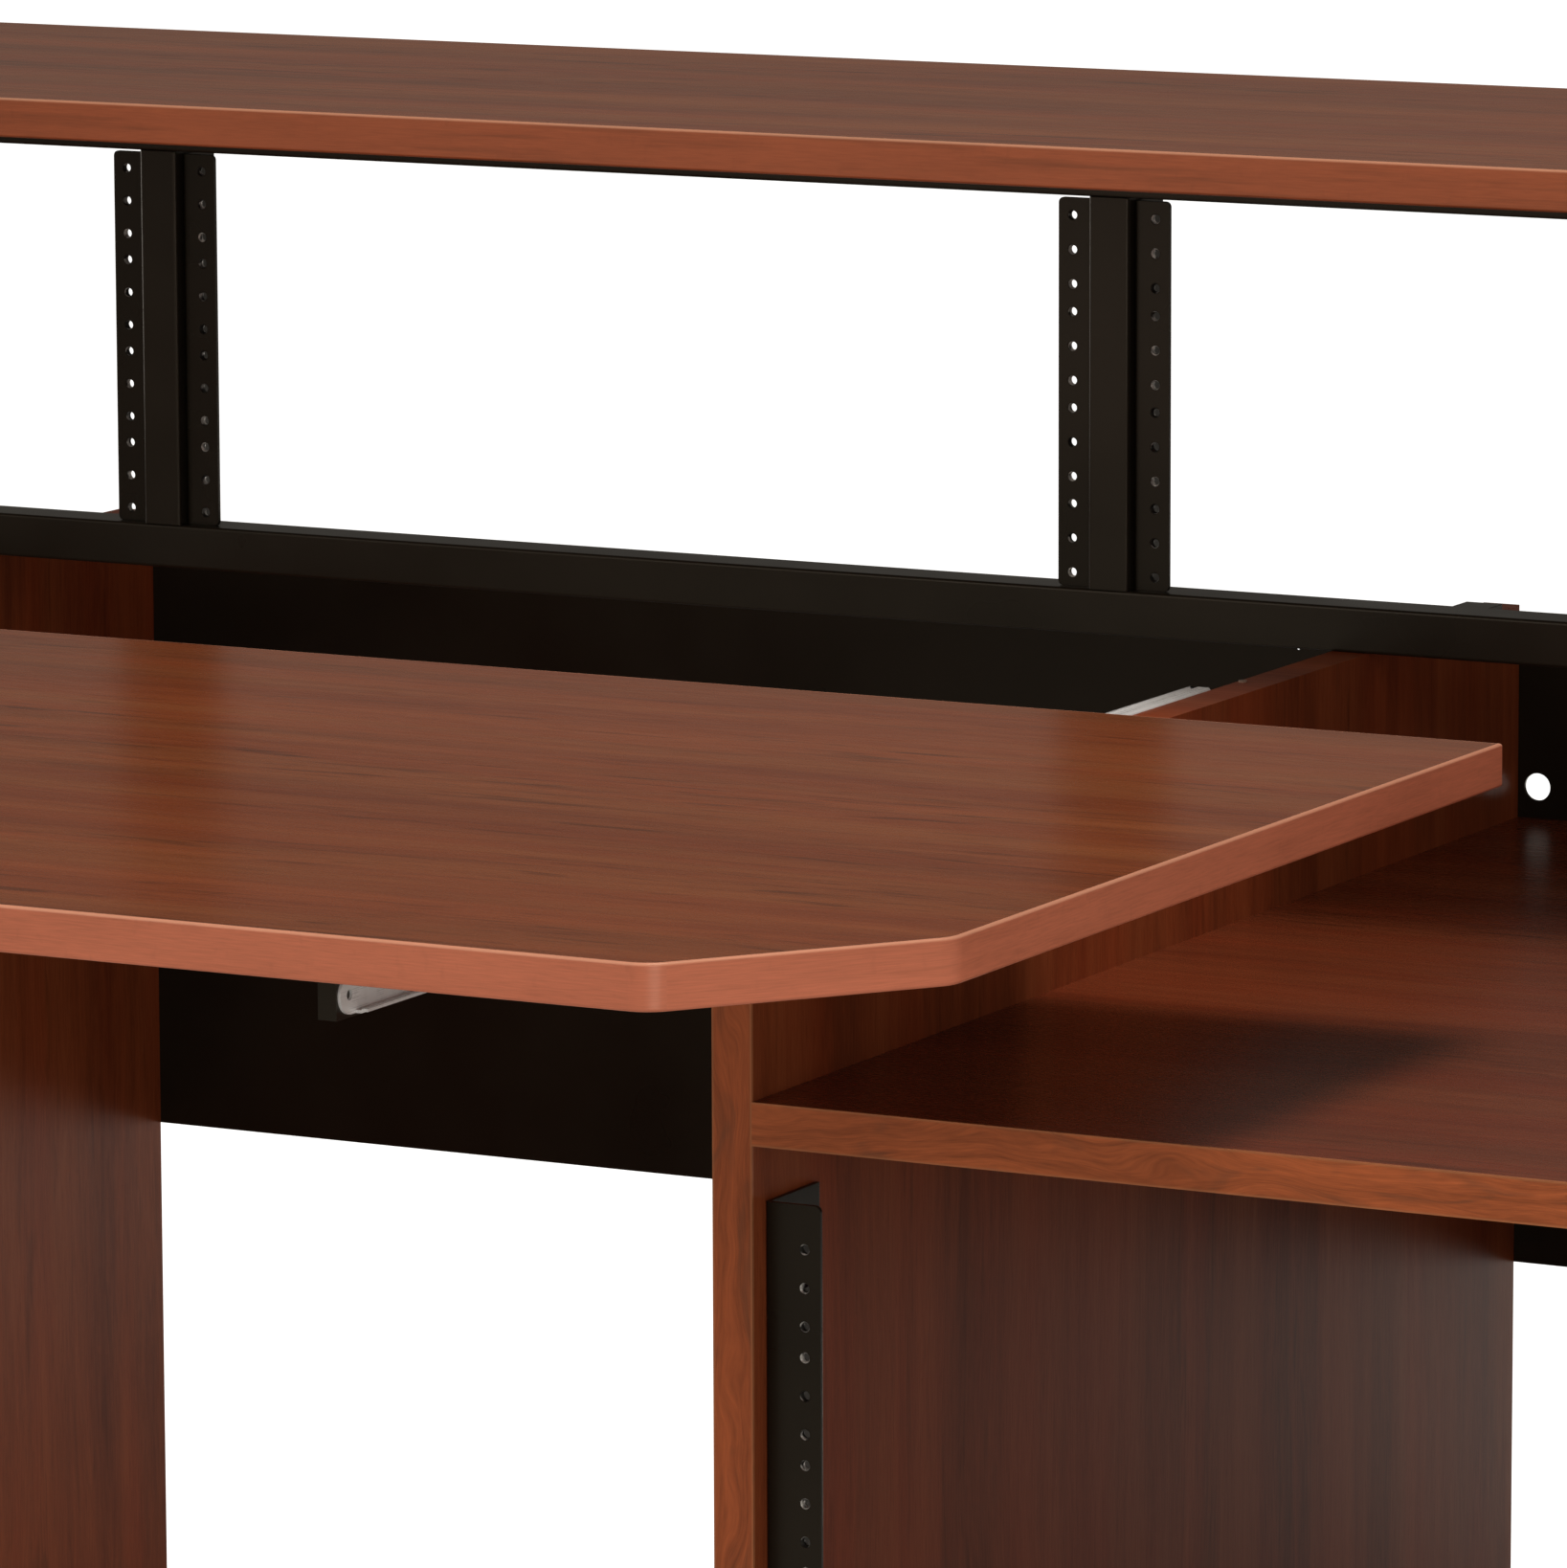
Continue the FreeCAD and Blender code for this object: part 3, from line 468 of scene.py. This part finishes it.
def nosed_slide(node, body):
    """Inner slide member: shallow channel whose web runs ahead of its flanges as a rounded nose."""
    low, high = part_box(node)
    outward = 1.0 if middle(node, 0) > 0.0 else -1.0
    web = low.x if outward > 0.0 else high.x
    width = high.x - low.x
    centre = middle(node, 2)
    half = 0.40 * (high.z - low.z)
    thick = SLIDE_SHEET * MM
    nose_length = 1.1 * half
    nose = low.y + nose_length
    hole_back, hole_radius = 7.0 * MM, 2.1 * MM
    joggle, flange_lead = 0.7 * MM, 3.0 * MM
    plate = [(high.y, -half)]
    plate += [(nose - nose_length * math.cos(math.radians(a)), half * math.sin(math.radians(a)))
              for a in range(-90, 91, 10)]
    plate += [(high.y, half)]
    hole = [(low.y + hole_back + hole_radius * math.cos(math.radians(a)),
             hole_radius * math.sin(math.radians(a))) for a in range(0, 360, 20)]
    flange = [(0.0, half - thick), (0.0, half), (width * 0.55, half), (width * 0.72, half - joggle),
              (width * 0.95, half - joggle), (width * 0.95, half - joggle - thick),
              (width * 0.68, half - joggle - thick), (width * 0.52, half - thick)]
    bm = bmesh.new()
    pierced_plate(bm, [plate, hole], 0.0, thick, lambda x, y, z: (web + outward * x, y, centre + z))
    for way in (-1.0, 1.0):
        pierced_plate(bm, [flange], nose + flange_lead, high.y,
                      lambda y, x, z: (web + outward * x, y, centre + way * z))
    finish_piece(node + "_rolled", bm, LOOKS["zinc"], body, node)


for hand in ("left", "right"):
    rolled_slide("slide_outer_" + hand, "desk")
    nosed_slide("slide_inner_" + hand, "tray")


# ---------------------------------------------------------------- screws, threads and glides
def circle(bm, radius, steps, place, offset=0.0):
    """Ring of vertices at place(across, up), going round from the offset, which is counted in steps."""
    return [bm.verts.new(place(radius * math.cos(2 * math.pi * (i + offset) / steps),
                               radius * math.sin(2 * math.pi * (i + offset) / steps))) for i in range(steps)]


def turned(bm, outline, centre, steps=28):
    """Solid of revolution about +Z from (radius, height) pairs in metres, lowest first."""
    rings = [circle(bm, radius, steps, lambda x, y: (centre[0] + x, centre[1] + y, centre[2] + height))
             for radius, height in outline]
    for lower, upper in zip(rings, rings[1:]):
        join_rings(bm, lower, upper)
    bm.faces.new(list(reversed(rings[0])))
    bm.faces.new(rings[-1])


HEAD_OUTLINE = ((4.0, 0.0), (4.0, 0.5), (3.8, 1.15), (3.3, 1.7), (2.6, 2.05), (2.25, 2.15))


def pan_head(bm, seat, direction, turn):
    """Domed screw head with a cross recess, 8 mm wide and 2.2 mm high, sitting on a surface."""
    head = bmesh.new()
    rings = [circle(head, radius * MM, 24, lambda x, y: (x, y, height * MM), 0.5)
             for radius, height in HEAD_OUTLINE]
    for lower, upper in zip(rings, rings[1:]):
        join_rings(head, lower, upper)
    head.faces.new(list(reversed(rings[0])))
    arm, half, crown, recess_floor, taper = 1.75, 0.42, 2.17, 1.05, 0.72
    quarter = [(half, half), (half, arm), (-half, arm)]
    cross = []
    for _ in range(4):
        cross += quarter
        quarter = [(-y, x) for x, y in quarter]
    top = [head.verts.new((x * MM, y * MM, crown * MM)) for x, y in cross]
    low = [head.verts.new((x * taper * MM, y * taper * MM, recess_floor * MM)) for x, y in cross]
    rims = []
    for ring in (rings[-1], top):
        for i, vert in enumerate(ring):
            pair = (vert, ring[(i + 1) % len(ring)])
            rims.append(head.edges.get(pair) or head.edges.new(pair))
    bmesh.ops.triangle_fill(head, edges=rims, use_beauty=True)
    join_rings(head, top, low)
    head.faces.new(low)
    spin = direction.to_track_quat("Z", "Y").to_matrix().to_4x4() @ Matrix.Rotation(turn, 4, "Z")
    head.transform(Matrix.Translation(seat) @ spin)
    mesh = bpy.data.meshes.new("head")
    head.to_mesh(mesh)
    head.free()
    bm.from_mesh(mesh)
    bpy.data.meshes.remove(mesh)


def detailed_screws(node):
    """Detailed heads for a CAD node of black screws, each turned to its own angle."""
    shank_reach = 3.0 * MM
    first_turn, next_turn = 0.4, 1.1
    bm = bmesh.new()
    for number, (low, high, points) in enumerate(islands(node)):
        size = high - low
        axis = max(range(3), key=lambda i: size[i])
        centre = (low + high) / 2.0
        wide = [p[axis] for p in points
                if sum((p[i] - centre[i]) ** 2 for i in range(3) if i != axis) > shank_reach ** 2]
        sign = 1.0 if sum(wide) / len(wide) > centre[axis] else -1.0
        direction = Vector([sign if i == axis else 0.0 for i in range(3)])
        seat = centre.copy()
        seat[axis] = min(wide) if sign > 0 else max(wide)
        pan_head(bm, seat, direction, first_turn + next_turn * number)
    finish_piece(node + "_heads", bm, LOOKS["screw_black"], "desk", node)


for screws in ("post_rail_screws", "low_rail_screws", "rear_sheet_screws", "foot_arm_screws"):
    detailed_screws(screws)


def hole_centres(node):
    """Middles of the rack holes in the front flange of a rail, found from their rims."""
    widest_hole, face_slack, sharp = 8.0 * MM, 0.01 * MM, 1.0
    bm = welded(node)
    face_y = min(vert.co.y for vert in bm.verts)
    rims = {}
    for edge in bm.edges:
        a, b = edge.verts
        in_face = max(a.co.y, b.co.y) - face_y <= face_slack
        if in_face and len(edge.link_faces) == 2 and edge.calc_face_angle(0.0) >= sharp:
            rims.setdefault(a, []).append(b)
            rims.setdefault(b, []).append(a)
    centres = []
    for group in linked_groups(rims, lambda vert: rims[vert]):
        low, high = box_of([vert.co for vert in group])
        if max(high.x - low.x, high.z - low.z) < widest_hole:
            centres.append((low + high) / 2.0)
    bm.free()
    return centres


def tapped_collar(bm, centre, depth):
    """Threaded collar drawn through the sheet behind a rack hole, along +Y; depth is in mm."""
    root, crest, mouth, outside = 2.26, 1.95, 2.35, 2.9
    pitch, start, run_out, sheet = 0.8, 0.25, 0.4, 2.0
    profile = [(root, start)]
    for i in range(int((depth - run_out) / pitch)):
        profile += [(crest, start + pitch * (i + 0.5)), (root, start + pitch * (i + 1))]
    profile += [(mouth, depth), (outside, depth), (outside, sheet)]
    rings = [circle(bm, radius * MM, 20, lambda x, z: (centre.x + x, centre.y + reach * MM, centre.z + z))
             for radius, reach in profile]
    for lower, upper in zip(rings, rings[1:]):
        join_rings(bm, lower, upper)


def thread_look():
    """Bare cut thread: random patches of bright and dark steel, the bright ones painted glints and the dark
    ones painted shade in the holes.
    """
    g = Graph("cut_thread")
    spot = g.coords.outputs["Object"]
    glint_and_shade_patch = g.noise(spot, 170.0, 2.0)
    # painted glints and painted shade: bright patches stand for glints on the thread, dark patches for the
    # shade deep in the holes
    base = g.mix(g.grey(glint_and_shade_patch, 0.44, 0.58), (0.03, 0.027, 0.024), (0.85, 0.83, 0.80))
    return g.surface(Base_Color=base, Metallic=0.6, Roughness=g.grey(glint_and_shade_patch, 0.3, 0.7, 0.40, 0.20),
                     Normal=g.bump(glint_and_shade_patch, 0.1, 0.0001))


def rail_threads():
    """One piece with a threaded collar behind every rack hole."""
    collar_depth = 4.2
    collars = bmesh.new()
    for part in frame["record"]["subparts"]:
        if part["node"].startswith(("rail_", "low_rail_")) and "screws" not in part["node"]:
            for centre in hole_centres(part["node"]):
                tapped_collar(collars, centre, collar_depth)
    bmesh.ops.recalc_face_normals(collars, faces=collars.faces)
    mesh = bpy.data.meshes.new("rail_threads")
    collars.to_mesh(mesh)
    collars.free()
    mesh.materials.append(thread_look())
    threads = bpy.data.objects.new("rail_threads", mesh)
    bpy.context.scene.collection.objects.link(threads)
    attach(threads, "desk")


rail_threads()

GLIDE_OUTLINE = ((6.6, 0.0), (8.2, 0.4), (8.9, 1.4), (9.0, 5.0), (8.6, 7.0), (7.4, 7.9), (5.5, 8.2),
                 (5.5, 9.2), (6.0, 9.4), (6.0, 11.8), (5.2, 12.0))


def glide_feet():
    """Turned plastic feet in the place of the CAD glides."""
    node = "levelling_glides"
    outline = [(radius * MM, height * MM) for radius, height in GLIDE_OUTLINE]
    glides = bmesh.new()
    for low, high, _ in islands(node):
        turned(glides, outline, ((low.x + high.x) / 2.0, (low.y + high.y) / 2.0, 0.0))
    finish_piece("levelling_glide_feet", glides, LOOKS["black_plastic"], "desk", node)


glide_feet()


# ---------------------------------------------------------------- stage
def set_inputs(node, values):
    """Sets the default values of a node's inputs by their names."""
    for key, value in values.items():
        node.inputs[key].default_value = value


def studio_floor():
    """Pale floor that is plain white to the camera and darker to reflections."""
    look = bpy.data.materials.new("floor")
    look.use_nodes = True
    tree = look.node_tree
    shader = tree.nodes["Principled BSDF"]
    path = tree.nodes.new("ShaderNodeLightPath")
    glow = tree.nodes.new("ShaderNodeMapRange")
    set_inputs(shader, {"Base Color": (0.50, 0.49, 0.47, 1.0), "Roughness": 0.9, "Specular IOR Level": 0.1,
                        "Emission Color": (1.0, 1.0, 1.0, 1.0)})
    set_inputs(glow, {"To Min": 0.05, "To Max": 1.00})
    tree.links.new(path.outputs["Is Camera Ray"], glow.inputs["Value"])
    tree.links.new(glow.outputs[0], shader.inputs["Emission Strength"])
    reach = 30.0
    mesh = bpy.data.meshes.new("floor")
    corners = [(-reach, -reach, 0.0), (reach, -reach, 0.0), (reach, reach, 0.0), (-reach, reach, 0.0)]
    mesh.from_pydata(corners, [], [(0, 1, 2, 3)])
    mesh.materials.append(look)
    floor = bpy.data.objects.new("floor", mesh)
    bpy.context.scene.collection.objects.link(floor)


def studio_world():
    """White backdrop to the camera; a warm dome, brighter in front and above, to everything else."""
    world = bpy.data.worlds.new("studio")
    world.use_nodes = True
    bpy.context.scene.world = world
    tree = world.node_tree
    background = tree.nodes["Background"]
    path = tree.nodes.new("ShaderNodeLightPath")
    sky = tree.nodes.new("ShaderNodeTexCoord")
    sky_axes = tree.nodes.new("ShaderNodeSeparateXYZ")
    front_side = tree.nodes.new("ShaderNodeMapRange")
    height = tree.nodes.new("ShaderNodeMapRange")
    dome = tree.nodes.new("ShaderNodeMix")
    strength = tree.nodes.new("ShaderNodeMix")
    front_side.interpolation_type = "SMOOTHSTEP"
    height.interpolation_type = "SMOOTHSTEP"
    set_inputs(front_side, {"From Min": 0.45, "From Max": -0.65, "To Min": 0.12, "To Max": 0.60})
    set_inputs(height, {"From Min": 0.02, "From Max": 0.45})
    set_inputs(dome, {"A": 0.15})
    set_inputs(strength, {"B": 1.45})
    set_inputs(background, {"Color": (1.0, 0.92, 0.81, 1.0)})
    tree.links.new(sky.outputs["Generated"], sky_axes.inputs[0])
    tree.links.new(sky_axes.outputs["Y"], front_side.inputs["Value"])
    tree.links.new(sky_axes.outputs["Z"], height.inputs["Value"])
    tree.links.new(height.outputs[0], dome.inputs["Factor"])
    tree.links.new(front_side.outputs[0], dome.inputs["B"])
    tree.links.new(path.outputs["Is Camera Ray"], strength.inputs["Factor"])
    tree.links.new(dome.outputs["Result"], strength.inputs["A"])
    tree.links.new(strength.outputs["Result"], background.inputs["Strength"])


def area_light(name, spot, target, size, power):
    """Rectangular lamp aimed at a target, in metres and watts, that the camera does not see."""
    data = bpy.data.lights.new(name, "AREA")
    data.shape = "RECTANGLE"
    data.size, data.size_y = size
    data.energy = power
    data.color = (1.0, 0.95, 0.88)
    lamp = bpy.data.objects.new(name, data)
    lamp.location = spot
    lamp.rotation_euler = (Vector(target) - Vector(spot)).to_track_quat("-Z", "Y").to_euler()
    lamp.visible_camera = False
    bpy.context.scene.collection.objects.link(lamp)


studio_floor()
studio_world()
area_light("overhead_softbox", (1.05, -0.60, 3.10), (0.25, -0.10, 0.70), (0.75, 0.75), 38.0)
area_light("right_softbox", (1.50, -1.60, 0.70), (0.15, -0.20, 0.55), (0.70, 0.60), 5.5)
area_light("rear_card", (0.40, 1.60, 0.25), (-0.36, 0.20, 0.40), (0.70, 0.50), 2.4)
area_light("left_wall", (-2.90, 0.45, 1.00), (0.10, 0.40, 0.85), (1.80, 1.80), 34.0)
area_light("front_softbox", (-0.50, -1.60, 1.20), (0.10, -0.30, 0.70), (1.20, 0.80), 4.0)

# ---------------------------------------------------------------- camera
YAW, PITCH, ROLL = 0.4830, 0.1626, 0.0035
CAMERA_SPOT = (2.15341, -3.55068, 1.36007)
SENSOR = 36.0
FOCAL_PIXELS = 10043.6
IMAGE_WIDTH = 1637.0


def add_camera():
    """Camera at the photograph's place and angle; angles in radians, places in metres."""
    forward = Vector((-math.sin(YAW) * math.cos(PITCH), math.cos(YAW) * math.cos(PITCH), -math.sin(PITCH)))
    level = Vector((math.cos(YAW), math.sin(YAW), 0.0))
    right = math.cos(ROLL) * level + math.sin(ROLL) * forward.cross(level)
    down = forward.cross(right)
    data = bpy.data.cameras.new("camera")
    data.sensor_width = SENSOR
    data.lens = SENSOR * FOCAL_PIXELS / IMAGE_WIDTH
    camera = bpy.data.objects.new("camera", data)
    axes = Matrix((right, -down, -forward)).transposed().to_4x4()
    camera.matrix_world = Matrix.Translation(CAMERA_SPOT) @ axes
    bpy.context.scene.collection.objects.link(camera)
    bpy.context.scene.camera = camera


add_camera()
bpy.context.scene.view_settings.view_transform = "Standard"
